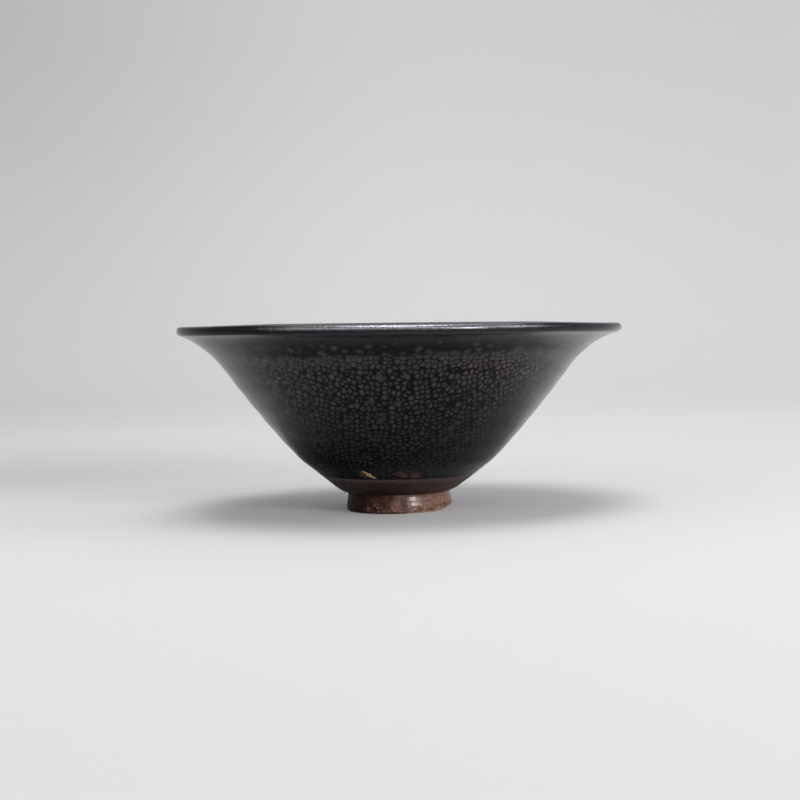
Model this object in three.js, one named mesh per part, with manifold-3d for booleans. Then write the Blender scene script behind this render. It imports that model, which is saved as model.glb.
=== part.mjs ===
// A hat-shaped stoneware tea bowl with a black oil-spot glaze, on a small turned foot ring.
// Every coat of glaze or iron wash is a thin solid of its own that shares its inner face with the clay.
// Millimetres, +Z up. The bowl stands on z = 0, and its lip is centred on the Z axis.

import * as THREE from 'three';
import { mergeVertices } from 'three/addons/utils/BufferGeometryUtils.js';
import Module from 'manifold-3d';

const wasm = await Module();
wasm.setup();

// Driving dimensions of the bowl, measured on its finished surface.
const rimDiameter = 130;
const lipTopHeight = 54.2;
const lipThickness = 2.6;
const wallBelowLip = 2.4;
const wallAtKnee = 5.2;
const kneeDiameter = 55.6;
const kneeHeight = 14.4;
const floorHeight = 11.6;

// Driving dimensions of the foot.
const footHeight = 5.3;
const footDiameter = 31.1;
const footFlare = 0.55;
const footRingWall = 3.7;
const footRingTaper = 0.5;
const footFlareEnd = 1.4;
const footChamfer = 0.3;
const bareEdgeHeight = 0.6;
const recessCut = 0.6;
const nubHeight = 0.7;
const nubDiameter = 5;
const nubTipShares = [0.5, 0.75];

// The cove where the trimmed underside runs out onto the foot.
const coveReach = 3.3;
const coveRise = 1.7;
const coveCornerShare = 0.75;

// Coats on the clay.
const glazeThickness = 0.6;
const lipGlazeThickness = 0.4;
const washThickness = 0.2;
const glazeLineHeight = 10.4;
const glazeRollWidth = 1.8;
const glazeRollProud = 0.25;
const rollEdgeShares = [0.12, 0.8];
const rollCrownShares = [0.5, 1];
const glazeLineWaver = 0.15;
const waversAround = 3;
const glazeThinsFromShare = 0.67;
const poolDepth = 1.2;
const poolDiameter = 26;

// How far the thrown bowl is out of true with its foot: it leans to +X, and its lip sits off its wall.
const leanAngle = THREE.MathUtils.degToRad(1.15);
const wallOffCentre = -0.29;
const lipOffCentre = 0.74;
const lipShiftRise = 4.5;

// The foot is pared on its +X side, where it lifts off the table.
const paringReach = 5.55;
const paringAngle = THREE.MathUtils.degToRad(10.5);

// The wall meets the lip at this slope.
const flareAngle = THREE.MathUtils.degToRad(15);

// Control points of the wall's two curves, as shares of the way from knee to lip: outwards, upwards.
const lowerWallShares = [[0, 0], [0.17, 0.155], [0.469, 0.518], [0.615, 0.716]];
const upperWallShares = [[0.615, 0.716], [0.72, 0.8585]];
const flareHandleShare = 0.135;

// Control points of the inside from the wall down into the well, as shares of its radius and depth.
const wellShares = [[0.75, 0.14], [0.42, 0]];

const aroundSteps = 48;
const wallSteps = 5;
const lipSteps = 6;
const wellSteps = 5;

const knee = new THREE.Vector2(kneeDiameter / 2, kneeHeight);
const lipRadius = lipThickness / 2;
const lipCentre = new THREE.Vector2(rimDiameter / 2 - lipRadius, lipTopHeight - lipRadius);
const footRadius = footDiameter / 2;
const neckRadius = footRadius - footFlare;
const recessRadius = neckRadius - footRingWall;
const nubRadius = nubDiameter / 2;
const leanSlope = Math.tan(leanAngle);

// The lip's shift at its own height, taken off everything so that the lip stays on the Z axis.
const lipShift = wallOffCentre + lipOffCentre + leanSlope * (lipCentre.y - footHeight);

const clay = new THREE.MeshStandardMaterial({ color: 0x9c7a5c, roughness: 0.85, metalness: 0 });
const glaze = new THREE.MeshStandardMaterial({ color: 0x17161a, roughness: 0.18, metalness: 0 });
const lipGlaze = new THREE.MeshStandardMaterial({ color: 0x3a2a26, roughness: 0.2, metalness: 0 });
const ironWash = new THREE.MeshStandardMaterial({ color: 0x3d2622, roughness: 0.65, metalness: 0 });
const footWash = new THREE.MeshStandardMaterial({ color: 0x6e4332, roughness: 0.4, metalness: 0 });

// A point on a circle in the outline's plane: angle 0 points outwards and a quarter turn points up.
function around(centre, radius, angle) {
  return new THREE.Vector2(centre.x + radius * Math.cos(angle), centre.y + radius * Math.sin(angle));
}

// A place on an outline curve with the direction that points out of the bowl there.
function station(curve, share) {
  const tangent = curve.getTangent(share);
  return { point: curve.getPoint(share), out: new THREE.Vector2(tangent.y, -tangent.x) };
}

// The point that lies a given distance inside a station, towards the drinker's side of the wall.
function inside(place, distance) {
  return place.point.clone().addScaledVector(place.out, -distance);
}

function betweenKneeAndLip(share) {
  const lipStart = around(lipCentre, lipRadius, flareAngle - Math.PI / 2);
  return new THREE.Vector2(
    THREE.MathUtils.lerp(knee.x, lipStart.x, share[0]),
    THREE.MathUtils.lerp(knee.y, lipStart.y, share[1]),
  );
}

// The trimmed underside: a cove off the foot, then a straight cone up to the knee.
const coveStart = new THREE.Vector2(neckRadius, footHeight);
const coveEnd = new THREE.Vector2(neckRadius + coveReach, footHeight + coveRise);
const coneDirection = knee.clone().sub(coveEnd).normalize();
const coveCorner = coveEnd.clone().addScaledVector(coneDirection, -coveRise * coveCornerShare / coneDirection.y);
const cove = new THREE.QuadraticBezierCurve(coveStart, coveCorner, coveEnd);
const cone = new THREE.LineCurve(coveEnd, knee);
const glazeLineShare = (glazeLineHeight - coveEnd.y) / (knee.y - coveEnd.y);

// The thrown wall: a lower and an upper curve, the upper one flaring out into the lip.
function wallCurves() {
  const lipStart = betweenKneeAndLip([1, 1]);
  const handle = flareHandleShare * (lipStart.x - knee.x);
  const flareHandle = new THREE.Vector2(
    lipStart.x - handle * Math.cos(flareAngle),
    lipStart.y - handle * Math.sin(flareAngle),
  );
  const lower = new THREE.CubicBezierCurve(...lowerWallShares.map(betweenKneeAndLip));
  const upper = new THREE.CubicBezierCurve(
    ...upperWallShares.map(betweenKneeAndLip),
    flareHandle,
    lipStart,
  );
  return [lower, upper];
}

function wallStations() {
  const [lower, upper] = wallCurves();
  const places = [];
  for (let i = 0; i < wallSteps; i += 1) places.push(station(lower, i / wallSteps));
  for (let i = 0; i <= wallSteps; i += 1) places.push(station(upper, i / wallSteps));
  return places;
}

const wall = wallStations();
const wallShare = (index) => index / (wall.length - 1);

// Thickness of the whole wall, which thins towards the lip and swells again into it.
function wallThickness(index) {
  if (index === wall.length - 1) return lipThickness;
  return THREE.MathUtils.lerp(wallAtKnee, wallBelowLip, wallShare(index));
}

// The glaze thins as it nears the lip.
function glazeOnWall(index) {
  const thinning = THREE.MathUtils.smoothstep(wallShare(index), glazeThinsFromShare, 1);
  return THREE.MathUtils.lerp(glazeThickness, lipGlazeThickness, thinning);
}

// Outer faces, from the glaze line up to the lip.
const aboveGlazeLine = (rise) => station(cone, glazeLineShare + rise / cone.getLength());
const glazeLine = aboveGlazeLine(0);
const rollTop = aboveGlazeLine(glazeRollWidth);
const outerClay = [
  inside(glazeLine, washThickness),
  inside(rollTop, glazeThickness),
  ...wall.map((place, i) => inside(place, glazeOnWall(i))),
];
const outerGlazeFace = [rollTop.point, ...wall.map((place) => place.point)];

// The glaze stops in a fat roll that stands proud of the wash.
function glazeRoll() {
  const bulge = ([widthShare, proudShare]) =>
    inside(aboveGlazeLine(glazeRollWidth * widthShare), -glazeRollProud * proudShare);
  return [glazeLine.point, bulge(rollEdgeShares), bulge(rollCrownShares)];
}

// Inner faces, from the lip down to the middle of the well.
function wellCurve(top, bottomHeight) {
  const depth = top.y - bottomHeight;
  const place = (share) => new THREE.Vector2(top.x * share[0], bottomHeight + depth * share[1]);
  return new THREE.CubicBezierCurve(top, ...wellShares.map(place), new THREE.Vector2(0, bottomHeight));
}

const innerWallGlaze = wall.map((place, i) => inside(place, wallThickness(i))).reverse();
const innerWallClay = wall.map((place, i) => inside(place, wallThickness(i) - glazeOnWall(i))).reverse();
const wellTop = innerWallGlaze[innerWallGlaze.length - 1];
const well = wellCurve(wellTop, floorHeight);

// Under the well the clay dips into a shallow dish that the glaze has pooled in.
function glazeInWell(radius) {
  const pooling = 1 - THREE.MathUtils.smoothstep(radius, 0, poolDiameter / 2);
  return THREE.MathUtils.lerp(glazeThickness, poolDepth, pooling);
}

const wellPlaces = Array.from({ length: wellSteps }, (_, i) => well.getPoint((i + 1) / wellSteps));
const wellClay = wellPlaces.map((p) => new THREE.Vector2(p.x, p.y - glazeInWell(p.x)));

// The lip is half a turn round, from the flare below it to the inside of the wall above.
function lipArc(radius) {
  const start = flareAngle - Math.PI / 2;
  return Array.from({ length: lipSteps - 1 }, (_, i) =>
    around(lipCentre, radius, start + Math.PI * (i + 1) / lipSteps));
}

// A four-sided face that is out of true is twisted. Splitting each along the diagonal from its upper
// end, whichever way the outline runs, gives a coat and its clay the same two triangles.
function splitFacesAlike(geometry, outline) {
  const rows = outline.length;
  for (let j = 0; j < rows - 1; j += 1) {
    if (outline[j + 1].y >= outline[j].y) continue;
    for (let i = 0; i < aroundSteps; i += 1) {
      const corner = i * rows + j;
      const across = corner + rows;
      const face = [corner, across, across + 1, across + 1, corner + 1, corner];
      geometry.index.array.set(face, face.length * (i * (rows - 1) + j));
    }
  }
  return geometry;
}

// Turns an outline of (radius, height) points into a closed solid round the Z axis.
function turn(outline) {
  const lathed = new THREE.LatheGeometry(outline, aroundSteps).rotateX(Math.PI / 2);
  const geometry = splitFacesAlike(lathed, outline);
  geometry.deleteAttribute('normal');
  geometry.deleteAttribute('uv');
  return mergeVertices(geometry);
}

// A coat closes back on itself, from its outer face to the face it shares with the clay.
function coatOutline(outerFace, innerFace) {
  return [...outerFace, ...innerFace.slice().reverse(), outerFace[0]];
}

// Lets the glaze line rise and fall a little round the bowl, along the slope of the underside.
function waverGlazeLine(geometry) {
  const places = geometry.attributes.position;
  const point = new THREE.Vector3();
  for (let i = 0; i < places.count; i += 1) {
    point.fromBufferAttribute(places, i);
    const radius = Math.hypot(point.x, point.y);
    const away = Math.abs(point.z - glazeLineHeight) / glazeRollWidth;
    if (radius > neckRadius && away < 1) {
      const angle = Math.atan2(point.y, point.x);
      const wave = Math.sin(waversAround * angle) * (1 - away * away) * glazeLineWaver;
      const grow = 1 + wave * coneDirection.x / radius;
      places.setXYZ(i, point.x * grow, point.y * grow, point.z + wave * coneDirection.y);
    }
  }
  return geometry;
}

// Sets the bowl out of true above the foot: nothing at the seam, all of it from the glaze line up.
function setOutOfTrue(geometry) {
  const places = geometry.attributes.position;
  const lipShiftStart = lipCentre.y - lipShiftRise;
  for (let i = 0; i < places.count; i += 1) {
    const x = places.getX(i);
    const z = places.getZ(i);
    const above = THREE.MathUtils.smoothstep(z, footHeight, glazeLineHeight);
    const nearLip = THREE.MathUtils.smoothstep(z, lipShiftStart, lipCentre.y);
    const shift = above * (wallOffCentre + leanSlope * (z - footHeight)) + nearLip * lipOffCentre;
    places.setX(i, x + shift - lipShift);
    places.setZ(i, z - above * leanSlope * x);
  }
  return geometry;
}

function outOfTrue(geometry) {
  return setOutOfTrue(waverGlazeLine(geometry));
}

function toSolid(geometry) {
  return new wasm.Manifold(new wasm.Mesh({
    numProp: 3,
    vertProperties: Float32Array.from(geometry.attributes.position.array),
    triVerts: Uint32Array.from(geometry.index.array),
  }));
}

function fromSolid(solid) {
  const mesh = solid.getMesh();
  const geometry = new THREE.BufferGeometry();
  geometry.setAttribute('position', new THREE.BufferAttribute(mesh.vertProperties, 3));
  geometry.setIndex(new THREE.BufferAttribute(mesh.triVerts, 1));
  return geometry;
}

// Pares the underside of the foot to a slope on its +X side.
function pare(geometry) {
  const knife = new THREE.BoxGeometry(footDiameter, footDiameter * 2, footHeight);
  knife.translate(footDiameter / 2, 0, -footHeight / 2);
  knife.rotateY(-paringAngle).translate(footRadius - paringReach, 0, 0);
  knife.deleteAttribute('normal');
  knife.deleteAttribute('uv');
  return fromSolid(toSolid(geometry).subtract(toSolid(mergeVertices(knife))));
}

// Underside of the clay inside the foot ring: a little nub left in the middle of the turned recess.
function recessOutline() {
  const ceiling = footHeight + recessCut;
  return [
    new THREE.Vector2(0, ceiling - nubHeight),
    new THREE.Vector2(nubRadius * nubTipShares[0], ceiling - nubHeight * nubTipShares[1]),
    new THREE.Vector2(nubRadius, ceiling),
    new THREE.Vector2(recessRadius - recessCut, ceiling),
    new THREE.Vector2(recessRadius, footHeight),
  ];
}

// The washed underside, from its seat on the foot out to the glaze line.
const seatEdge = new THREE.Vector2(neckRadius - washThickness, footHeight);
const coveMiddle = station(cove, 1 / 2);
const coveFoot = station(cove, 1);
const undersideFace = [coveStart, coveMiddle.point, coveFoot.point, glazeLine.point];
const undersideClay = [
  seatEdge,
  inside(coveMiddle, washThickness),
  inside(coveFoot, washThickness),
  outerClay[0],
];

function clayBody() {
  const outline = [
    ...recessOutline(),
    ...undersideClay,
    ...outerClay.slice(1),
    ...lipArc(lipRadius - lipGlazeThickness),
    ...innerWallClay,
    ...wellClay,
  ];
  return outOfTrue(turn(outline));
}

function outerGlaze() {
  return outOfTrue(turn(coatOutline([...glazeRoll(), ...outerGlazeFace], outerClay)));
}

function innerGlaze() {
  const back = [...innerWallClay, ...wellClay].reverse();
  return outOfTrue(turn([...back, ...innerWallGlaze, ...wellPlaces]));
}

function lipCoat() {
  const face = [wall[wall.length - 1].point, ...lipArc(lipRadius), innerWallGlaze[0]];
  const clayArc = lipArc(lipRadius - lipGlazeThickness);
  const back = [outerClay[outerClay.length - 1], ...clayArc, innerWallClay[0]];
  return outOfTrue(turn(coatOutline(face, back)));
}

function undersideWash() {
  return outOfTrue(turn(coatOutline(undersideFace, undersideClay)));
}

// Outer face of the foot, flaring out from the neck to its widest a little above the table.
function footFace(coat) {
  return [
    new THREE.Vector2(neckRadius - coat, footHeight),
    new THREE.Vector2(footRadius - coat, footFlareEnd),
    new THREE.Vector2(footRadius - coat, bareEdgeHeight),
  ];
}

function footRing() {
  const outerRadius = footRadius - washThickness;
  const innerRadius = recessRadius + footRingTaper;
  const outline = [
    new THREE.Vector2(recessRadius, footHeight),
    new THREE.Vector2(innerRadius, footChamfer),
    new THREE.Vector2(innerRadius + footChamfer, 0),
    new THREE.Vector2(outerRadius - footChamfer, 0),
    new THREE.Vector2(outerRadius, footChamfer),
    ...footFace(washThickness).reverse(),
    new THREE.Vector2(recessRadius, footHeight),
  ];
  return outOfTrue(pare(turn(outline)));
}

function footCoat() {
  return outOfTrue(pare(turn(coatOutline(footFace(0).reverse(), footFace(washThickness).reverse()))));
}

function piece(name, geometry, material) {
  const mesh = new THREE.Mesh(geometry, material);
  mesh.name = name;
  return mesh;
}

const group = new THREE.Group();
group.add(piece('clay_body', clayBody(), clay));
group.add(piece('foot_ring', footRing(), clay));
group.add(piece('outer_glaze', outerGlaze(), glaze));
group.add(piece('inner_glaze', innerGlaze(), glaze));
group.add(piece('lip_glaze', lipCoat(), lipGlaze));
group.add(piece('underside_wash', undersideWash(), ironWash));
group.add(piece('foot_wash', footCoat(), footWash));

export default group;
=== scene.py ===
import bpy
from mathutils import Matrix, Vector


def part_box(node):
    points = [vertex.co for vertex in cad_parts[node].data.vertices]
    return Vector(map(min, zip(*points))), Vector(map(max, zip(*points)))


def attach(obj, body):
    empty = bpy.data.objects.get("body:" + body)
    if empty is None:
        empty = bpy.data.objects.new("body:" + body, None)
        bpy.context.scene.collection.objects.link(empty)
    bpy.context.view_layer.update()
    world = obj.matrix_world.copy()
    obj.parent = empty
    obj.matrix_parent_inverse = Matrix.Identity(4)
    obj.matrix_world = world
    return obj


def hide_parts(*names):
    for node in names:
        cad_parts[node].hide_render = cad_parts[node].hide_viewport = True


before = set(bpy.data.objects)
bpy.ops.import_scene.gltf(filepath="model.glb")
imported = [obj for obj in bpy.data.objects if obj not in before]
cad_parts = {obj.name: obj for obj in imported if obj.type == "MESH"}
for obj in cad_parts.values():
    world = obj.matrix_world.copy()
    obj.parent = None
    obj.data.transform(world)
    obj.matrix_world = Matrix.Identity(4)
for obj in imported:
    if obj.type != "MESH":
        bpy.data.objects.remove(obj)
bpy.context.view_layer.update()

import math

import bmesh
import bpy
from mathutils import Matrix, Vector, noise

# A hat-shaped tea bowl: clay, iron wash and oil-spot glaze as fine turned meshes round the Z axis.
# Outlines are in millimetres, and every mesh is laid down in metres.
MM = 0.001
AROUND = 240
HALF_TURN = math.pi
SHARP_ANGLE = math.radians(40)

# Sizes that the parts in model.glb give.
lip_low, lip_high = (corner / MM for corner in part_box("lip_glaze"))
foot_low, foot_high = (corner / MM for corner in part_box("foot_wash"))
rim_radius = (lip_high.x - lip_low.x) / 2
foot_radius = (foot_high.y - foot_low.y) / 2
foot_height = foot_high.z

# Sizes of the thrown bowl, on its finished surface.
lip_top_height = 54.15
lip_thickness = 2.6
wall_below_lip = 2.4
wall_at_knee = 5.2
lip_swells_from_share = 0.9
knee = Vector((27.8, 14.4))
floor_height = 11.6
flare_angle = math.radians(15)
lower_wall_shares = ((0, 0), (0.17, 0.155), (0.469, 0.518), (0.615, 0.716))
upper_wall_shares = ((0.615, 0.716), (0.72, 0.8585))
flare_handle_share = 0.135
well_shares = ((0.75, 0.14), (0.42, 0))

# Sizes of the foot, of the recess inside it and of the cove above it.
foot_flare = 0.55
foot_bend_shares = (0.75, 0.55)
foot_ring_wall = 3.7
foot_ring_taper = 0.5
foot_flare_end = 1.4
foot_edge_round = 0.3
bare_edge_height = 0.5
recess_cut = 0.6
nub_height = 0.7
nub_radius = 2.5
groove_depth = 0.05
groove_rate = 2.6
groove_fade = 1
cove_reach = 3.3
cove_rise = 1.7
cove_corner_share = 0.75
paring_reach = 5.55
paring_slope = math.tan(math.radians(10.5))

# Coats on the clay.
glaze_thickness = 0.6
lip_glaze_thickness = 0.4
wash_thickness = 0.2
glaze_thins_from_share = 0.67
glaze_line_height = 10.4
glaze_roll_width = 1.8
glaze_roll_proud = 0.07
roll_crown_share = 0.4
glaze_line_waver = 0.15
wavers_around = 3
pool_depth = 1.2
pool_radius = 13

# How far the bowl is out of true with its foot.
lean_slope = math.tan(math.radians(1.15))
wall_off_centre = -0.29
lip_off_centre = 0.74
lip_shift_rise = 4.5

lip_radius = lip_thickness / 2
lip_centre = Vector((rim_radius - lip_radius, lip_top_height - lip_radius))
neck_radius = foot_radius - foot_flare
recess_radius = neck_radius - foot_ring_wall
lip_shift = wall_off_centre + lip_off_centre + lean_slope * (lip_centre.y - foot_height)

# Rows of faces along the outlines: fine where a side shows, few where a coat lies on the clay.
WALL_ROWS = 56
HIDDEN_WALL_ROWS = 14
LIP_ROWS = 18
HIDDEN_LIP_ROWS = 6
WELL_ROWS = 26
HIDDEN_WELL_ROWS = 9
GLAZE_ROLL_ROWS = 14
CONE_ROWS = 4
UNDERSIDE_ROWS = 8
COVE_ROWS = 8
RECESS_ROWS = 30
FOOT_FLARE_ROWS = 16
FOOT_EDGE_ROWS = 4
RING_INSIDE_ROWS = 10
RING_ROUND_ROWS = 5
RING_REST_ROWS = 8


def lerp(start, end, share):
    return start + (end - start) * share


def smoothstep(value, low, high):
    share = min(max((value - low) / (high - low), 0), 1)
    return share * share * (3 - 2 * share)


def shares(steps):
    return [i / steps for i in range(steps + 1)]


def station(points, share):
    """A place on a curve of control points, with the direction that points out of the bowl there."""
    while len(points) > 2:
        points = [a.lerp(b, share) for a, b in zip(points, points[1:])]
    start, end = points
    tangent = (end - start).normalized()
    return start.lerp(end, share), Vector((tangent.y, -tangent.x))


def inside(place, distance):
    """The point a distance inside a station, towards the drinker's side of the wall."""
    point, out = place
    return point - out * distance


def around(centre, radius, angle):
    return centre + radius * Vector((math.cos(angle), math.sin(angle)))


# The wall's two curves, from the knee to the lip.
lip_start = around(lip_centre, lip_radius, flare_angle - HALF_TURN / 2)


def between_knee_and_lip(share):
    return Vector((lerp(knee.x, lip_start.x, share[0]), lerp(knee.y, lip_start.y, share[1])))


flare_handle = around(lip_start, -flare_handle_share * (lip_start.x - knee.x), flare_angle)
lower_wall = [between_knee_and_lip(share) for share in lower_wall_shares]
upper_wall = [between_knee_and_lip(share) for share in upper_wall_shares] + [flare_handle, lip_start]


def wall_station(share):
    if share < 0.5:
        return station(lower_wall, share * 2)
    return station(upper_wall, share * 2 - 1)


def wall_thickness(share):
    swelling = (lip_thickness - wall_below_lip) * smoothstep(share, lip_swells_from_share, 1)
    return lerp(wall_at_knee, wall_below_lip, share) + swelling


def glaze_on_wall(share):
    return lerp(glaze_thickness, lip_glaze_thickness, smoothstep(share, glaze_thins_from_share, 1))


def outer_wall(steps):
    return [wall_station(share)[0] for share in shares(steps)]


def outer_wall_clay(steps):
    return [inside(wall_station(share), glaze_on_wall(share)) for share in shares(steps)]


def inner_wall(steps):
    return [inside(wall_station(share), wall_thickness(share)) for share in shares(steps)][::-1]


def inner_wall_clay(steps):
    return [inside(wall_station(share), wall_thickness(share) - glaze_on_wall(share))
            for share in shares(steps)][::-1]


# The trimmed underside: a cove off the foot, then a straight cone up to the knee.
cove_start = Vector((neck_radius, foot_height))
cove_end = Vector((neck_radius + cove_reach, foot_height + cove_rise))
cone_direction = (knee - cove_end).normalized()
cone_length = (knee - cove_end).length
cove_corner = cove_end - cone_direction * (cove_rise * cove_corner_share / cone_direction.y)
cove = [cove_start, cove_corner, cove_end]
cove_stations = [station(cove, share) for share in shares(COVE_ROWS)]
glaze_line_rise = (glaze_line_height - cove_end.y) / cone_direction.y


def above_glaze_line(rise):
    return station([cove_end, knee], (glaze_line_rise + rise) / cone_length)


def glaze_roll():
    """The fat roll that the glaze ends in: it swells fast to its crown and sinks slowly above."""
    points = []
    for share in shares(GLAZE_ROLL_ROWS)[:-1]:
        if share < roll_crown_share:
            proud = math.sqrt(1 - (1 - share / roll_crown_share) ** 2)
        else:
            proud = 1 - smoothstep(share, roll_crown_share, 1)
        points.append(inside(above_glaze_line(glaze_roll_width * share), -glaze_roll_proud * proud))
    return points


def glaze_seat():
    """Where the glaze lies on the clay, from its line to the top of its roll."""
    line = inside(above_glaze_line(0), wash_thickness)
    return [line, inside(above_glaze_line(glaze_roll_width), glaze_thickness)]


def cone_to_knee():
    start = above_glaze_line(glaze_roll_width)[0]
    return [start.lerp(knee, share) for share in shares(CONE_ROWS)[:-1]]


def lip_arc(radius, steps):
    start = flare_angle - HALF_TURN / 2
    return [around(lip_centre, radius, start + HALF_TURN * share) for share in shares(steps)[1:-1]]


# The inside, from the wall down into the well, where the glaze has pooled in a dish in the clay.
well_top = inside(wall_station(0), wall_at_knee)
well_depth = well_top.y - floor_height
well_curve = [well_top] + [
    Vector((well_top.x * share[0], floor_height + well_depth * share[1])) for share in well_shares
] + [Vector((0, floor_height))]


def well(steps):
    return [station(well_curve, share)[0] for share in shares(steps)[1:]]


def well_clay(steps):
    points = []
    for point in well(steps):
        pooling = 1 - smoothstep(point.x, 0, pool_radius)
        points.append(Vector((point.x, point.y - lerp(glaze_thickness, pool_depth, pooling))))
    return points


def foot_face(coat):
    """The foot's outer side under a coat, from the neck down to its widest and on to the bare edge."""
    neck = Vector((neck_radius - coat, foot_height))
    widest = Vector((foot_radius - coat, foot_flare_end))
    across, down = foot_bend_shares
    bend = Vector((lerp(neck.x, widest.x, across), lerp(neck.y, widest.y, down)))
    edge = Vector((widest.x, bare_edge_height))
    flare = [station([neck, bend, widest], share)[0] for share in shares(FOOT_FLARE_ROWS)]
    return flare + [widest.lerp(edge, share) for share in shares(FOOT_EDGE_ROWS)[1:]]


def recess():
    """The clay inside the foot ring, from the nub in its middle out to the ring."""
    ceiling = foot_height + recess_cut
    points = []
    for share in shares(RECESS_ROWS):
        radius = share * (recess_radius - recess_cut)
        nub = nub_height * (1 - smoothstep(radius, 0, nub_radius))
        off_nub = smoothstep(radius, nub_radius, nub_radius + groove_fade)
        groove = groove_depth * math.sin(radius * groove_rate) * off_nub
        points.append(Vector((radius, ceiling - nub + groove)))
    return points + [Vector((recess_radius, foot_height))]


# Setting the turned shapes out of true, as the hands and the fire left them.
throwing_ring_pitch = 5.5
throwing_ring_swell = 0.05
rings_start = (11, 20)
rings_end = (42, 50)
hand_swell = 0.06
hand_scale = 0.045
hand_offset = Vector((3.1, 7.7, 1.3))
rim_wave = 0.42
rim_wave_share = 0.4

# Turning marks, wear and nicks on the foot.
turned_mark_depth = 0.02
turned_mark_rate = 4.2
foot_unevenness = 0.08
foot_uneven_scale = 0.3
nick_depth = 0.55
nick_scale = 0.55
nick_offset = Vector((5.2, 1.1, 9.4))
nick_least = 0.12
worn_edge_height = 1.6
seam_margin = 0.5
foot_skin = 1


def by_hand(point):
    """Faint throwing rings that climb round the wall, and a lip that rises in front and behind."""
    radius = math.hypot(point.x, point.y)
    if radius < neck_radius:
        return point
    turn = math.atan2(point.y, point.x)
    ring = math.sin(2 * HALF_TURN * point.z / throwing_ring_pitch + turn + math.sin(turn * 2))
    rings = smoothstep(point.z, *rings_start) * (1 - smoothstep(point.z, *rings_end))
    uneven = noise.noise(point * hand_scale + hand_offset)
    at_lip = smoothstep(point.z, *rings_end)
    move = rings * throwing_ring_swell * ring + at_lip * hand_swell * (uneven - 1) / 2
    grow = 1 + move / radius
    front_or_back = smoothstep(1 - abs(math.cos(turn)), 0, rim_wave_share)
    lift = at_lip * (rim_wave * front_or_back - hand_swell * (1 - uneven) / 2)
    return Vector((point.x * grow, point.y * grow, point.z + lift))


def waver(point):
    """Lets the glaze line rise and fall a little, along the slope of the underside."""
    radius = math.hypot(point.x, point.y)
    away = abs(point.z - glaze_line_height) / glaze_roll_width
    if radius <= neck_radius or away >= 1:
        return point
    wave = math.sin(wavers_around * math.atan2(point.y, point.x)) * (1 - away * away) * glaze_line_waver
    grow = 1 + wave * cone_direction.x / radius
    return Vector((point.x * grow, point.y * grow, point.z + wave * cone_direction.y))


def lean(point):
    """Nothing at the seam on the foot, all of it from the glaze line up."""
    above = smoothstep(point.z, foot_height, glaze_line_height)
    near_lip = smoothstep(point.z, lip_centre.y - lip_shift_rise, lip_centre.y)
    shift = above * (wall_off_centre + lean_slope * (point.z - foot_height)) + near_lip * lip_off_centre
    return Vector((point.x + shift - lip_shift, point.y, point.z - above * lean_slope * point.x))


def set_bowl(point):
    return lean(waver(by_hand(point))) * MM


def pared(point):
    """The foot's underside slopes up on its +X side."""
    lift = max(0, (point.x - (foot_radius - paring_reach)) * paring_slope)
    return Vector((point.x, point.y, lift + point.z * (1 - lift / foot_height)))


def knocked(point):
    """Turning marks round the foot, and a lower edge that is worn and nicked."""
    radius = math.hypot(point.x, point.y)
    if radius < neck_radius - foot_skin:
        return point
    mark = math.sin(point.z * turned_mark_rate + math.atan2(point.y, point.x)) - 1
    uneven = noise.noise(point * foot_uneven_scale) - 1
    near_edge = 1 - smoothstep(point.z, 0, worn_edge_height)
    nick = max(0, noise.noise(point * nick_scale + nick_offset) - nick_least) * near_edge
    off_seam = 1 - smoothstep(point.z, foot_height - seam_margin, foot_height)
    move = (mark * turned_mark_depth + uneven * foot_unevenness - nick * nick_depth) * off_seam
    grow = 1 + move / radius
    return Vector((point.x * grow, point.y * grow, point.z))


def set_foot(point):
    return lean(pared(knocked(point))) * MM


def in_metres(point):
    return point * MM


directions = [
    (math.cos(2 * HALF_TURN * i / AROUND), math.sin(2 * HALF_TURN * i / AROUND)) for i in range(AROUND)
]


def turned(name, outline, settle, closed):
    """Turns an outline round the Z axis into a mesh, with each point set in place by settle."""
    shape = bmesh.new()
    rings = []
    for point in outline:
        if point.x == 0:
            rings.append([shape.verts.new(settle(Vector((0, 0, point.y))))] * AROUND)
        else:
            rings.append([
                shape.verts.new(settle(Vector((point.x * cos, point.x * sin, point.y))))
                for cos, sin in directions
            ])
    followers = rings[1:] + rings[:1] if closed else rings[1:]
    for ring, follower in zip(rings, followers):
        for i in range(AROUND):
            j = (i + 1) % AROUND
            corners = dict.fromkeys((ring[i], ring[j], follower[j], follower[i]))
            shape.faces.new(corners).smooth = True
    bmesh.ops.recalc_face_normals(shape, faces=shape.faces)
    mesh = bpy.data.meshes.new(name)
    shape.to_mesh(mesh)
    shape.free()
    mesh.set_sharp_from_angle(angle=SHARP_ANGLE)
    piece = bpy.data.objects.new(name, mesh)
    bpy.context.collection.objects.link(piece)
    return piece


def make_clay_body():
    seat = Vector((neck_radius - wash_thickness, foot_height))
    outline = recess() + [seat]
    outline += [inside(place, wash_thickness) for place in cove_stations[1:]]
    outline += glaze_seat() + outer_wall_clay(HIDDEN_WALL_ROWS)
    outline += lip_arc(lip_radius - lip_glaze_thickness, HIDDEN_LIP_ROWS)
    outline += inner_wall_clay(HIDDEN_WALL_ROWS) + well_clay(HIDDEN_WELL_ROWS)
    return turned("clay_body_turned", outline, set_bowl, False)


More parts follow.
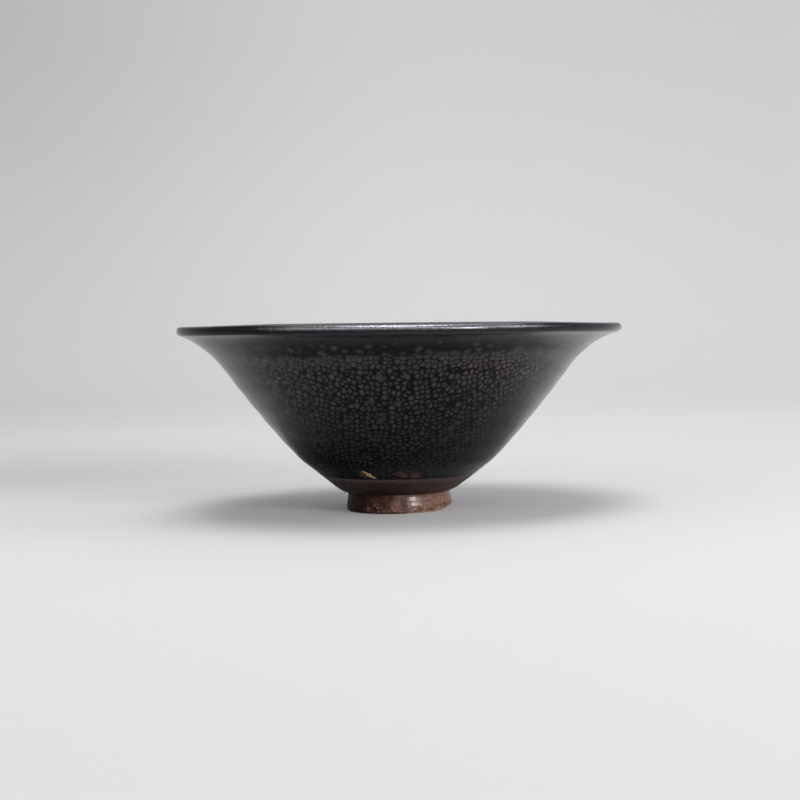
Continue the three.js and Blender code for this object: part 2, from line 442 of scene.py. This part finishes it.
def make_foot_ring():
    inner_radius = recess_radius + foot_ring_taper
    outer_radius = foot_radius - wash_thickness
    inside_top = Vector((recess_radius, foot_height))
    inside_end = Vector((inner_radius, foot_edge_round))
    inner_round = Vector((inner_radius + foot_edge_round, foot_edge_round))
    outer_round = Vector((outer_radius - foot_edge_round, foot_edge_round))
    outline = [inside_top.lerp(inside_end, share) for share in shares(RING_INSIDE_ROWS)]
    outline += [around(inner_round, foot_edge_round, HALF_TURN * (1 + share / 2))
                for share in shares(RING_ROUND_ROWS)[1:]]
    outline += [Vector((lerp(inner_round.x, outer_round.x, share), 0))
                for share in shares(RING_REST_ROWS)[1:-1]]
    outline += [around(outer_round, foot_edge_round, HALF_TURN * (1.5 + share / 2))
                for share in shares(RING_ROUND_ROWS)]
    outline += foot_face(wash_thickness)[::-1]
    return turned("foot_ring_turned", outline, set_foot, True)


def make_outer_glaze():
    face = glaze_roll() + cone_to_knee() + outer_wall(WALL_ROWS)
    back = glaze_seat() + outer_wall_clay(HIDDEN_WALL_ROWS)
    return turned("outer_glaze_coat", face + back[::-1], set_bowl, True)


def make_inner_glaze():
    face = inner_wall(WALL_ROWS) + well(WELL_ROWS)
    back = inner_wall_clay(HIDDEN_WALL_ROWS) + well_clay(HIDDEN_WELL_ROWS)
    return turned("inner_glaze_coat", back[::-1] + face, set_bowl, False)


def make_lip_glaze():
    face = [lip_start] + lip_arc(lip_radius, LIP_ROWS) + inner_wall(1)[:1]
    back = outer_wall_clay(1)[-1:] + lip_arc(lip_radius - lip_glaze_thickness, HIDDEN_LIP_ROWS)
    back += inner_wall_clay(1)[:1]
    return turned("lip_glaze_coat", face + back[::-1], set_bowl, True)


def make_underside_wash():
    face = [place[0] for place in cove_stations]
    face += [cove_end.lerp(above_glaze_line(0)[0], share) for share in shares(UNDERSIDE_ROWS)[1:]]
    back = [Vector((neck_radius - wash_thickness, foot_height))]
    back += [inside(place, wash_thickness) for place in cove_stations[1:]] + glaze_seat()[:1]
    return turned("underside_wash_coat", face + back[::-1], set_bowl, True)


def make_foot_wash():
    return turned("foot_wash_coat", foot_face(0) + foot_face(wash_thickness)[::-1], set_foot, True)


def tone(red, green, blue):
    """The linear colour of a colour as it is seen, from 0 to 255."""
    seen = (red / 255, green / 255, blue / 255)
    return tuple(c / 12.92 if c <= 0.04045 else ((c + 0.055) / 1.055) ** 2.4 for c in seen) + (1,)


# The glaze's pattern, in millimetres. The wall's slope is its widening along its side, the cut behind
# the bowl strays by an angle, and a spot's reach, gap and edge are shares of its pitch.
WALL_SLOPE = 0.66
CUT_STRAY = 0.16
CUT_FADE = (0.1, 0.3)
SHEET_RANDOMNESS = 0.8
SPOT_PITCH = 1.65
INNER_SPOT_PITCH = 1.6
LARGE_SPOT_PITCH = 2.4
FLOATING_SPOT_PITCH = 3.2
SPOT_REACH = 0.4
SPOT_ROOM_SHARE = 0.7
SPOT_GAP = 0.05
SPOT_EDGE = 0.34
GLAZE_WAVE_SCALE = 0.22
GLAZE_WAVE_DEPTH = 0.1
PINHOLE_PITCH = 5.5
INNER_PINHOLE_PITCH = 6
PINHOLE_RADIUS = 0.2
PINHOLE_FLOOR_SHARE = 0.4
PINHOLE_DEPTH = 0.06


class Surface:
    """A material in the making. Its calls add shader nodes and return their outputs."""

    # The colour mixer's sockets have the same names as its sockets for numbers, so they go by place.
    MIX_SHARE, MIX_A, MIX_B, MIX_RESULT = 0, 6, 7, 2

    def __init__(self, name, **uniform):
        self.material = bpy.data.materials.new(name)
        self.material.use_nodes = True
        self.tree = self.material.node_tree
        self.shader = self.tree.nodes["Principled BSDF"]
        for socket, value in uniform.items():
            self.set(socket.replace("_", " "), value)
        place = {0: self.node("ShaderNodeTexCoord").outputs["Object"], "Scale": 1 / MM}
        self.place = self.node("ShaderNodeVectorMath", place, operation="SCALE").outputs[0]
        self.x, self.y, self.z = self.node("ShaderNodeSeparateXYZ", {0: self.place}).outputs

    def put(self, value, socket):
        if isinstance(value, bpy.types.NodeSocket):
            self.tree.links.new(value, socket)
        else:
            socket.default_value = value

    def set(self, name, value):
        """Sets a socket of the shader itself."""
        self.put(value, self.shader.inputs[name])

    def node(self, kind, inputs=None, **settings):
        node = self.tree.nodes.new(kind)
        for name, value in settings.items():
            setattr(node, name, value)
        for socket, value in (inputs or {}).items():
            self.put(value, node.inputs[socket])
        return node

    def math(self, operation, *inputs):
        return self.node("ShaderNodeMath", dict(enumerate(inputs)), operation=operation).outputs[0]

    def plus(self, a, b):
        return self.math("ADD", a, b)

    def minus(self, a, b):
        return self.math("SUBTRACT", a, b)

    def times(self, value, *factors):
        for factor in factors:
            value = self.math("MULTIPLY", value, factor)
        return value

    def vectors(self, operation, a, b):
        return self.node("ShaderNodeVectorMath", {0: a, 1: b}, operation=operation).outputs[0]

    def fade(self, value, low, high, start=0.0, end=1.0):
        """Goes from start to end as the value goes from low to high, and stays there outside them."""
        inputs = {"Value": value, "From Min": low, "From Max": high, "To Min": start, "To Max": end}
        return self.node("ShaderNodeMapRange", inputs, interpolation_type="SMOOTHSTEP").outputs[0]

    def between(self, value, low, high, edge):
        """1 from low to high, fading out over an edge outside them."""
        rising = self.fade(value, low - edge, low)
        return self.times(rising, self.fade(value, high + edge, high))

    def mix(self, share, a, b):
        inputs = {self.MIX_SHARE: share, self.MIX_A: a, self.MIX_B: b}
        return self.node("ShaderNodeMix", inputs, data_type="RGBA").outputs[self.MIX_RESULT]

    def noise_outputs(self, scale, detail, roughness, place):
        inputs = {"Vector": place or self.place, "Scale": scale, "Detail": detail, "Roughness": roughness}
        return self.node("ShaderNodeTexNoise", inputs).outputs

    def noise(self, scale, detail=2.0, roughness=0.5, place=None):
        return self.noise_outputs(scale, detail, roughness, place)["Fac"]

    def scatter(self, scale, detail=2.0):
        """Three noises at once, as a vector with each part between 0 and 1."""
        return self.noise_outputs(scale, detail, 0.5, None)["Color"]

    def stray(self, scale, detail, span):
        """Noise that wanders over a span, as far below zero as above it."""
        return self.times(self.minus(self.noise(scale, detail), 0.5), span)

    def cells(self, pitch, feature, sheet=None):
        """Cells of a pitch in millimetres, on a flat sheet of places or, without one, in space."""
        inputs = {"Vector": self.place, "Scale": 1 / pitch, "Randomness": 1.0}
        if sheet is not None:
            inputs.update({"Vector": sheet, "Randomness": SHEET_RANDOMNESS})
        settings = {"feature": feature, "voronoi_dimensions": "3D" if sheet is None else "2D"}
        return self.node("ShaderNodeTexVoronoi", inputs, **settings).outputs

    def radius(self):
        """How far a place is from the Z axis."""
        return self.math("SQRT", self.plus(self.times(self.x, self.x), self.times(self.y, self.y)))

    def turn(self):
        """How far a place is round from the front, with the right side above zero."""
        return self.math("ARCTAN2", self.x, self.times(self.y, -1.0))

    def degrees_round(self):
        return self.times(self.turn(), 180 / HALF_TURN)

    def unrolled(self):
        """The wall unrolled flat, as a cone is: the place on the flat sheet, pushed about a little, and
        how near the place is to the cut behind the bowl."""
        radius = self.radius()
        stray = self.stray(0.25, 2, CUT_STRAY)
        wrapped = self.math("WRAP", self.minus(self.turn(), stray), HALF_TURN, -HALF_TURN)
        cut = self.times(self.minus(HALF_TURN, self.math("ABSOLUTE", wrapped)), radius)
        angle = self.times(self.plus(wrapped, stray), WALL_SLOPE)
        reach = self.math("DIVIDE", radius, WALL_SLOPE)
        flat_x = self.times(reach, self.math("SINE", angle))
        flat_y = self.times(reach, self.math("COSINE", angle))
        flat = self.node("ShaderNodeCombineXYZ", {0: flat_x, 1: flat_y}).outputs[0]
        return self.vectors("ADD", flat, self.vectors("SUBTRACT", self.scatter(1.1), (0.5, 0.5, 0.5))), cut

    def bump(self, height, depth, below=None):
        inputs = {"Height": height, "Distance": depth * MM, "Strength": 1.0}
        if below is not None:
            inputs["Normal"] = below
        return self.node("ShaderNodeBump", inputs).outputs[0]

    def finish(self, colour, roughness, normal=None):
        self.set("Base Color", colour)
        self.set("Roughness", roughness)
        if normal is not None:
            self.set("Normal", normal)
        return self.material


def spots(s, pitch, sheet, soft=0.5, crowding=0.0):
    """Close-packed rounded spots: how far inside a spot a place is, and that spot's own numbers."""
    nearest = s.cells(pitch, "F1", sheet)
    second = s.cells(pitch, "F2", sheet)
    room = s.cells(pitch, "N_SPHERE_RADIUS", sheet)
    gap = s.plus(s.minus(second["Distance"], nearest["Distance"]), crowding)
    reach = s.plus(s.times(room["Radius"], SPOT_ROOM_SHARE), SPOT_REACH)
    within = s.plus(s.minus(reach, nearest["Distance"]), crowding)
    numbers = s.node("ShaderNodeSeparateColor", {0: nearest["Color"]}).outputs
    return s.times(s.fade(gap, SPOT_GAP, soft), s.fade(within, 0.0, SPOT_EDGE)), numbers


def small_spots(s, pitch, faintest, crowding=0.0):
    """Spots all over the wall, some of them fainter, with the sheet they lie on and their numbers."""
    sheet, cut = s.unrolled()
    small, numbers = spots(s, pitch, sheet, crowding=crowding)
    strength = s.fade(numbers[0], 0, 1, faintest, 1.0)
    return s.times(small, s.fade(cut, *CUT_FADE), strength), sheet, numbers


def glaze_relief(s, pinhole_pitch):
    """Slow waves in the glaze, and a few tiny burst bubbles."""
    waves = s.bump(s.noise(GLAZE_WAVE_SCALE), GLAZE_WAVE_DEPTH)
    near = s.cells(pinhole_pitch, "F1")["Distance"]
    edge = PINHOLE_RADIUS / pinhole_pitch
    return s.bump(s.fade(near, edge * PINHOLE_FLOOR_SHARE, edge), PINHOLE_DEPTH, waves)


# Places where the glaze has run thin, over the knee in front: x, z, half the length, half the width
# and the slope in degrees. A streak of ochre lies in the first.
THIN_PATCHES = ((-11.0, 12.2, 1.7, 0.9, -25), (-0.6, 12.1, 1.9, 1.0, -20), (3.3, 11.7, 1.6, 0.95, -12))
OCHRE_STREAK = (-9.6, 12.15, 2.3, 0.4, -32)
PATCH_BROKEN_UP = (0.36, 0.5)
STREAK_BROKEN_UP = (0.28, 0.4)
PATCH_EDGE = (1.25, 0.55)
PATCH_STRAY = 0.9


def front_patch(s, x, z, length, width, slope, broken_up):
    """A mark on the camera's side of the bowl, ragged and broken up, as a share from 0 to 1."""
    cos, sin = math.cos(math.radians(slope)), math.sin(math.radians(slope))
    stray = s.node("ShaderNodeSeparateXYZ", {0: s.scatter(0.9, 3)}).outputs
    right = s.minus(s.x, x + PATCH_STRAY / 2)
    right = s.plus(right, s.times(stray[0], PATCH_STRAY))
    up = s.minus(s.z, z + PATCH_STRAY / 2)
    up = s.plus(up, s.times(stray[1], PATCH_STRAY))
    along = s.plus(s.times(right, cos / length), s.times(up, sin / length))
    across = s.plus(s.times(right, -sin / width), s.times(up, cos / width))
    away = s.plus(s.times(along, along), s.times(across, across))
    ragged = s.fade(s.noise(1.5, 4, 0.6), *broken_up)
    in_front = s.fade(s.y, 0.0, -1.0)
    return s.times(s.fade(away, *PATCH_EDGE), in_front, ragged)


def thin_glaze(s, colour):
    """The glaze's colour, with rust where it has run thin over the knee and the streak of ochre."""
    thin = 0.0
    for patch in THIN_PATCHES:
        thin = s.math("MAXIMUM", thin, front_patch(s, *patch, PATCH_BROKEN_UP))
    rust = s.mix(s.fade(s.noise(2.4, 3), 0.35, 0.65), tone(58, 34, 22), tone(108, 72, 52))
    ochre = s.mix(s.fade(s.noise(1.9, 3), 0.35, 0.6), tone(116, 80, 46), tone(190, 160, 124))
    colour = s.mix(s.times(thin, 0.7), colour, rust)
    return s.mix(front_patch(s, *OCHRE_STREAK, STREAK_BROKEN_UP), colour, ochre)


# Zones of the outer glaze in millimetres. Each begins at its first number and is full at its second,
# but for the band of warm spots, which lies between the two.
CROWDED_SPOTS = (41.0, 46.0)
FIELD_TOP = (47.2, 45.6)
FLOATING_SPOTS_BOTTOM = (45.0, 47.0)
FLOATING_SPOTS_TOP = (51.8, 49.0)
BRIGHT_SPOTS = (6, 42)
WARM_SPOTS_SIDE = (8.0, 26.0)
WARM_SPOTS_BAND = (40.0, 44.5)
PALER_BLACK = (12, 30)
CLEAR_BLACK = (45.5, 48.5)
GLEAMING_SPOTS = (20.0, 38.0)
DULL_BOTTOM = (33.0, 15.0)
DULL_BOTTOM_LEFT = (6.0, -22.0)
DULL_LEFT = (-22.0, -34.0)
GLOSSY_RIGHT = (24.0, 46.0)

# Spots are picked by the number that each has, from 0 to 1.
LARGE_SPOT_NUMBERS = (0.92, 0.921)
FLOATING_SPOT_NUMBERS = (0.15, 0.6)
BLACK_TINT = (0.06, 0.06, 0.07, 1)
SPOT_TINT = (0.5, 0.5, 0.52, 1)


def outer_spots(s, height):
    """How far inside a spot a place is, and the small spots' own numbers."""
    small, sheet, numbers = small_spots(s, SPOT_PITCH, 0.72, s.fade(s.z, *CROWDED_SPOTS, 0.0, 0.14))
    # A few larger spots, those with the highest numbers, take the place of the small ones under them.
    large, large_numbers = spots(s, LARGE_SPOT_PITCH, sheet)
    large = s.times(large, s.fade(large_numbers[0], *LARGE_SPOT_NUMBERS))
    small = s.times(small, s.fade(large, 0.3, 0.0))
    field = s.times(s.plus(small, s.times(large, 0.85)), s.fade(height, *FIELD_TOP))
    # Above the field float a few large soft spots.
    soft, soft_numbers = spots(s, FLOATING_SPOT_PITCH, sheet, soft=0.95)
    floating = s.times(soft, s.fade(soft_numbers[0], *FLOATING_SPOT_NUMBERS))
    floating = s.times(floating, s.fade(s.z, *FLOATING_SPOTS_TOP))
    floating = s.times(floating, s.fade(height, *FLOATING_SPOTS_BOTTOM, 0, 0.85))
    # All of them dim down the wall.
    return s.times(s.plus(field, floating), s.fade(s.z, *BRIGHT_SPOTS, 0.4, 1.0)), numbers


def oil_spot_glaze():
    s = Surface("oil_spot_glaze", IOR=1.5)
    # The field of spots starts under the lip on an uneven line.
    height = s.plus(s.z, s.stray(0.3, 3, 5))
    spotted, numbers = outer_spots(s, height)
    black = s.mix(s.fade(s.z, *PALER_BLACK), tone(9, 8, 11), tone(16, 13, 17))
    black = s.mix(s.fade(height, *CLEAR_BLACK), black, tone(6, 5, 7))
    grey = s.mix(numbers[1], tone(42, 41, 44), tone(53, 50, 52))
    warm = s.times(s.fade(s.x, *WARM_SPOTS_SIDE), s.between(s.z, *WARM_SPOTS_BAND, 2.0))
    grey = s.mix(s.times(warm, 0.7), grey, tone(64, 54, 57))
    # The spots are skins of iron crystals, and gleam more than the black between them.
    gleam = s.times(spotted, s.fade(s.z, *GLEAMING_SPOTS, 0.15, 1.0))
    s.set("Specular Tint", s.mix(gleam, BLACK_TINT, SPOT_TINT))
    # Low down, on the left and under the lip the glaze is duller, and up at the right glossier.
    dull = s.times(s.fade(s.x, *DULL_BOTTOM_LEFT, 0.6, 1.0), s.fade(s.z, *DULL_BOTTOM))
    level = s.times(s.fade(gleam, 0.0, 1.0, 0.4, 0.6), s.fade(dull, 0.0, 1.0, 1.0, 0.03))
    level = s.times(level, s.fade(s.x, *GLOSSY_RIGHT, 1.0, 1.35), s.fade(s.x, *DULL_LEFT, 1.0, 0.8))
    s.set("Specular IOR Level", s.times(level, s.fade(height, *CLEAR_BLACK, 1.0, 0.7)))
    roughness = s.plus(s.times(spotted, 0.1), 0.16)
    colour = thin_glaze(s, s.mix(spotted, black, grey))
    return s.finish(colour, roughness, glaze_relief(s, PINHOLE_PITCH))


# Zones of the inner glaze: out from the pool in its well, and down from the lip.
OUT_OF_POOL = (7, 15)
PALER_BLACK_INSIDE = (8, 30)
BELOW_INNER_LIP = (52.5, 48.5)


def inner_glaze():
    s = Surface("inner_oil_spot_glaze", IOR=1.5, Specular_IOR_Level=0.4)
    small, _, numbers = small_spots(s, INNER_SPOT_PITCH, 0.55)
    radius = s.radius()
    # The spots sink under clear black where the glaze has pooled, and fade out towards the lip.
    spotted = s.times(small, s.fade(radius, *OUT_OF_POOL, 0.12, 1.0))
    spotted = s.times(spotted, s.fade(s.z, *BELOW_INNER_LIP, 0.1, 1.0))
    black = s.mix(s.fade(radius, *PALER_BLACK_INSIDE), tone(9, 10, 14), tone(15, 14, 18))
    colour = s.mix(spotted, black, s.mix(numbers[1], tone(62, 60, 66), tone(72, 66, 66)))
    roughness = s.plus(s.times(spotted, 0.1), 0.14)
    return s.finish(colour, roughness, glaze_relief(s, INNER_PINHOLE_PITCH))


# Zones of the lip: above and below its centre and across the bowl in millimetres, and how far round
# from the front its sides are in degrees.
LIP_CREST = (0.1, 0.95)
LIP_BROWN = (-0.1, -0.9)
LIP_SIDES = (38, 145)
LIP_LEFT_END = (-34.0, -50.0)
LIP_DULL_LEFT = (4.0, -44.0)


def lip_glaze():
    s = Surface("lip_glaze", IOR=1.5, Specular_Tint=(0.65, 0.65, 0.7, 1))
    # Heights on the lip are taken as if it didn't lean.
    height = s.minus(s.plus(s.z, s.times(s.x, lean_slope)), lip_centre.y)
    height = s.plus(height, s.stray(0.35, 3, 0.6))
    crest = s.fade(height, *LIP_CREST)
    brown = s.times(s.fade(height, *LIP_BROWN), s.fade(s.noise(0.06), 0.42, 0.58))
    # Along its crest the glaze is a bluish grey with fine crystals of iron, and has a metal's gleam.
    crystals = s.fade(s.noise(2.2, 4, 0.6), 0.38, 0.64)
    grey = s.mix(crystals, tone(116, 116, 123), tone(172, 171, 178))
    # Round the sides the crest is blue-black with a few crystals; the bright grey is kept to the front and
    # back, which is a painted highlight.
    sparkle = s.fade(s.noise(3.2, 4, 0.6), 0.58, 0.66)
    blue_black_sides = s.mix(sparkle, tone(26, 26, 34), tone(124, 123, 132))
    turn = s.plus(s.degrees_round(), s.stray(0.2, 3, 14))
    sides_without_painted_highlight = s.between(s.math("ABSOLUTE", s.minus(turn, 1.0)), *LIP_SIDES, 14)
    grey = s.mix(s.times(sides_without_painted_highlight, 0.95), grey, blue_black_sides)
    colour = s.mix(crest, tone(9, 9, 14), grey)
    colour = s.mix(s.times(brown, 0.35), colour, tone(34, 25, 22))
    s.set("Metallic", s.times(crest, 0.85))
    # Towards its left end the lip is duller, and darker and browner: partly its own brown, partly painted
    # shade.
    left_end_brown_and_shade = s.fade(s.x, *LIP_LEFT_END)
    colour = s.mix(s.times(left_end_brown_and_shade, 0.8), colour, tone(24, 18, 16))
    s.set("Specular IOR Level", s.fade(s.x, *LIP_DULL_LEFT, 0.5, 0.12))
    roughness = s.plus(s.fade(s.noise(1.1, 3), 0.3, 0.7, 0.08, 0.15), s.times(crest, 0.13))
    return s.finish(colour, roughness, s.bump(s.noise(0.7, 3), 0.03))


# Zones of the wash on the underside, across the bowl and up to the glaze line, and the scale of its
# streaks along each axis.
PAINTED_LIGHT_ON_WASH_RIGHT = (-8.0, 18.0)
NEAR_GLAZE_LINE = (8.9, 9.9)
BRUSH_STREAKS = (0.25, 0.25, 1.6)


def iron_wash():
    s = Surface("iron_wash", IOR=1.45, Specular_IOR_Level=0.12)
    # Brushed on in streaks that run round the bowl. It is a little paler on the right, which is painted
    # light.
    streaked = s.node("ShaderNodeMapping", {"Vector": s.place, "Scale": BRUSH_STREAKS}).outputs[0]
    brushed = s.fade(s.noise(0.55, 5, 0.6, streaked), 0.35, 0.65)
    colour = s.mix(brushed, tone(26, 18, 16), tone(50, 35, 32))
    painted_light_on_right = s.fade(s.x, *PAINTED_LIGHT_ON_WASH_RIGHT)
    colour = s.mix(painted_light_on_right, colour, s.mix(0.65, colour, tone(76, 58, 54)))
    # It is paler too in patches by the glaze line, which leans with the bowl; these paler patches are
    # painted light, where the band under the glaze line catches the light.
    height = s.plus(s.z, s.times(s.x, lean_slope))
    painted_light_near_glaze = s.times(s.fade(height, *NEAR_GLAZE_LINE), s.fade(s.noise(0.6, 3), 0.3, 0.5))
    colour = s.mix(s.times(painted_light_near_glaze, 0.8), colour, tone(82, 64, 60))
    roughness = s.fade(s.noise(0.8, 4), 0.3, 0.7, 0.38, 0.6)
    return s.finish(colour, roughness, s.bump(s.noise(2.2, 4, 0.6), 0.04))


# Zones of the foot: round from the front in degrees, and up from the table in millimetres.
RED_BEGINS = (-50.0, 6.0)
PAINTED_SHADE_BEHIND = (100.0, 150.0)
GLOSS_BEGINS = (-40.0, 10.0)
GLOSS_ENDS = (150.0, 100.0)
ORANGE_ROUND = (24, 62)
ORANGE_UP = (2.5, 4.6)
CHIPPED_ROUND = (-40, 46)
CHIPPED_UP = (4.4, 0.6)
BARE_EDGE_ROUND = (20, 48)
EDGE_STAIN_AND_SHADE_TOP = (6.0, 5.0)
EDGE_STAIN_AND_SHADE_WIDTH = (0.55, 0.3)


def foot_wash():
    s = Surface("foot_wash", IOR=1.5)
    turn = s.plus(s.degrees_round(), s.stray(0.25, 3, 50))
    mottled = s.fade(s.noise(0.55, 5, 0.65), 0.36, 0.64)
    red_brown = s.mix(mottled, tone(66, 36, 30), tone(118, 80, 64))
    painted_shade_brown = s.mix(mottled, tone(28, 17, 14), tone(46, 28, 24))
    # Painted shade: the wash is dark brown on the left of the foot and behind it, and red-brown from the
    # front round to the right.
    colour = s.mix(s.fade(turn, *RED_BEGINS), painted_shade_brown, red_brown)
    colour = s.mix(s.fade(turn, *PAINTED_SHADE_BEHIND), colour, painted_shade_brown)
    # Where the wash is thinnest it has fired orange, by the foot's upper edge on the right.
    orange = s.times(s.between(turn, *ORANGE_ROUND, 10), s.between(s.z, *ORANGE_UP, 0.7))
    orange = s.times(orange, s.fade(s.noise(0.7, 4, 0.6), 0.36, 0.56))
    colour = s.mix(s.times(orange, 0.8), colour, tone(140, 94, 74))
    # Rubbed through to the clay in small chips, most of them low down in front.
    chips = s.plus(s.noise(1.3, 5, 0.66), s.fade(s.z, *CHIPPED_UP, -0.06, 0.07))
    chips = s.plus(chips, s.times(s.between(turn, *CHIPPED_ROUND, 16), 0.085))
    worn = s.fade(chips, 0.675, 0.74)
    colour = s.mix(s.times(worn, 0.7), colour, tone(160, 134, 112))
    dark = s.fade(s.noise(1.7, 4), 0.56, 0.68)
    colour = s.mix(s.times(dark, 0.65), colour, tone(40, 22, 20))
    # The thin wash is glossy and the thick wash dull.
    glossy = s.times(s.fade(turn, *GLOSS_BEGINS), s.fade(turn, *GLOSS_ENDS))
    s.set("Specular IOR Level", s.fade(glossy, 0.0, 1.0, 0.05, 0.6))
    roughness = s.plus(s.fade(s.noise(0.9, 3), 0.3, 0.7, 0.14, 0.32), s.fade(glossy, 1.0, 0.0, 0, 0.25))
    roughness = s.plus(roughness, s.times(worn, 0.3))
    relief = s.minus(s.noise(1.3, 4, 0.6), s.times(worn, 0.25))
    return s.finish(colour, roughness, s.bump(relief, 0.04))


def bare_clay():
    s = Surface("bare_clay", IOR=1.4, Specular_IOR_Level=0.2)
    colour = s.mix(s.noise(0.8, 6, 0.65), tone(132, 100, 76), tone(184, 154, 124))
    grog = s.fade(s.cells(0.7, "F1")["Distance"], 0.3, 0.12)
    colour = s.mix(s.times(grog, 0.5), colour, tone(86, 62, 48))
    # The ring's outer edge is dark brown, partly stained by the wash and partly painted shade where it
    # meets the table, but for a short stretch in front on the right.
    stain_and_shade_round = s.minus(1.0, s.between(s.degrees_round(), *BARE_EDGE_ROUND, 6))
    at_edge = s.fade(s.minus(foot_radius, s.radius()), *EDGE_STAIN_AND_SHADE_WIDTH)
    stain_and_edge_shade = s.times(stain_and_shade_round, s.times(at_edge, s.fade(s.z, *EDGE_STAIN_AND_SHADE_TOP)))
    colour = s.mix(s.times(stain_and_edge_shade, 0.95), colour, tone(44, 27, 22))
    return s.finish(colour, 0.85, s.bump(s.noise(3.0, 5, 0.6), 0.06))


def dress(piece, node, material):
    piece.data.materials.append(material)
    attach(piece, "root")
    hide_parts(node)


clay = bare_clay()
dress(make_clay_body(), "clay_body", clay)
dress(make_foot_ring(), "foot_ring", clay)
dress(make_outer_glaze(), "outer_glaze", oil_spot_glaze())
dress(make_inner_glaze(), "inner_glaze", inner_glaze())
dress(make_lip_glaze(), "lip_glaze", lip_glaze())
dress(make_underside_wash(), "underside_wash", iron_wash())
dress(make_foot_wash(), "foot_wash", foot_wash())

# The stage: a round pale sweep whose floor runs up into a wall on every side.
STAGE_FLOOR_RADIUS = 800
STAGE_BEND = 350
STAGE_HEIGHT = 1000
STAGE_FLOOR_ROWS = 6
STAGE_BEND_ROWS = 12

# Where the paper's painted shade changes: from the left, to the right, up the wall and away from the
# camera.
FROM_LEFT = (-440.0, 60.0)
TO_RIGHT = (100.0, 400.0)
UP_WALL = (30.0, 330.0)
BY_CAMERA = (-330.0, -60.0)
LEFT_OF_BOWL = (40.0, -160.0)
BEHIND_BOWL = (10.0, 170.0)
FAR_FLOOR = (90.0, 420.0)
FAR_WALL = (430.0, 800.0)


def studio_paper():
    """The paper's colour paints shade: it is a little darker on the left, high up and by the camera, with
    a painted shadow on the floor left of and behind the bowl.
    """
    s = Surface("studio_paper", Specular_IOR_Level=0.2)
    from_left = s.fade(s.x, *FROM_LEFT)
    to_right = s.fade(s.x, *TO_RIGHT)
    floor = s.mix(from_left, tone(219, 218, 217), tone(244, 244, 244))
    floor = s.mix(to_right, floor, tone(235, 235, 235))
    wall = s.mix(from_left, tone(225, 224, 223), tone(249, 249, 249))
    wall = s.mix(to_right, wall, tone(245, 245, 245))
    high_wall = s.mix(from_left, tone(211, 211, 212), tone(240, 240, 240))
    wall = s.mix(s.fade(s.z, *UP_WALL), wall, high_wall)
    near_floor = s.mix(s.fade(s.y, *BY_CAMERA), tone(224, 224, 224), tone(233, 233, 233))
    # Painted shadow on the floor, left of the bowl and behind it.
    painted_shadow_left_behind = s.times(s.fade(s.x, *LEFT_OF_BOWL), s.fade(s.y, *BEHIND_BOWL))
    near_floor = s.mix(painted_shadow_left_behind, near_floor, tone(208, 207, 206))
    colour = s.mix(s.fade(s.y, *FAR_FLOOR), near_floor, floor)
    colour = s.mix(s.fade(s.y, *FAR_WALL), colour, wall)
    return s.finish(colour, 0.9)


def make_stage():
    outline = [Vector((STAGE_FLOOR_RADIUS * share, 0)) for share in shares(STAGE_FLOOR_ROWS)]
    bend_centre = Vector((STAGE_FLOOR_RADIUS, STAGE_BEND))
    outline += [around(bend_centre, STAGE_BEND, HALF_TURN * (1.5 + share / 2))
                for share in shares(STAGE_BEND_ROWS)[1:]]
    outline.append(Vector((STAGE_FLOOR_RADIUS + STAGE_BEND, STAGE_HEIGHT)))
    sweep = turned("studio_sweep", outline, in_metres, False)
    sweep.data.materials.append(studio_paper())


def area_light(name, azimuth, elevation, distance, size, power, spread=180):
    """A softbox that faces the bowl, in metres. Azimuth 270 is the camera's side and 0 is +X."""
    light = bpy.data.lights.new(name, "AREA")
    light.shape = "RECTANGLE"
    light.size, light.size_y = size
    light.energy = power
    light.spread = math.radians(spread)
    turn, rise = math.radians(azimuth), math.radians(elevation)
    away = Vector((math.cos(turn) * math.cos(rise), math.sin(turn) * math.cos(rise), math.sin(rise)))
    lamp = bpy.data.objects.new(name, light)
    lamp.location = away * distance
    lamp.rotation_euler = away.to_track_quat("Z", "Y").to_euler()
    lamp.visible_camera = False
    bpy.context.collection.objects.link(lamp)


def make_world(colour, strength):
    world = bpy.data.worlds.new("studio_air")
    bpy.context.scene.world = world
    world.use_nodes = True
    background = world.node_tree.nodes["Background"]
    background.inputs["Color"].default_value = colour
    background.inputs["Strength"].default_value = strength


# The camera's place, sensor and focal length in millimetres, and its downward tilt and roll.
CAMERA_PLACE = Vector((-0.306, -529.6, 56.68))
CAMERA_SENSOR = 36
CAMERA_FOCAL_LENGTH = 81.06
CAMERA_TILT = math.radians(2.67)
CAMERA_ROLL = math.radians(-1.75)


def make_camera():
    lens = bpy.data.cameras.new("camera")
    lens.sensor_width = CAMERA_SENSOR
    lens.lens = CAMERA_FOCAL_LENGTH
    camera = bpy.data.objects.new("camera", lens)
    aim = Matrix.Rotation(HALF_TURN / 2 - CAMERA_TILT, 4, "X") @ Matrix.Rotation(CAMERA_ROLL, 4, "Z")
    camera.matrix_world = Matrix.Translation(CAMERA_PLACE * MM) @ aim
    bpy.context.collection.objects.link(camera)
    bpy.context.scene.camera = camera


make_stage()
make_world(tone(236, 236, 238), 0.29)
area_light("overhead", azimuth=270, elevation=86, distance=1.6, size=(0.77, 0.77), power=7.55)
area_light("front_high", azimuth=262, elevation=68, distance=1.6, size=(0.42, 0.42), power=1.8)
area_light("front_strip", azimuth=262, elevation=36, distance=1.0, size=(1.1, 0.12), power=1.05)
area_light("right_side", azimuth=345, elevation=30, distance=1.0, size=(0.6, 0.5), power=0.32, spread=70)
area_light("right_front", azimuth=304, elevation=16, distance=1.0, size=(0.24, 0.36), power=0.5, spread=70)
area_light("left_side", azimuth=205, elevation=38, distance=0.95, size=(0.5, 0.5), power=0.2)
area_light("back", azimuth=75, elevation=62, distance=1.6, size=(0.97, 0.97), power=1.4)
make_camera()
bpy.context.scene.view_settings.view_transform = "Standard"
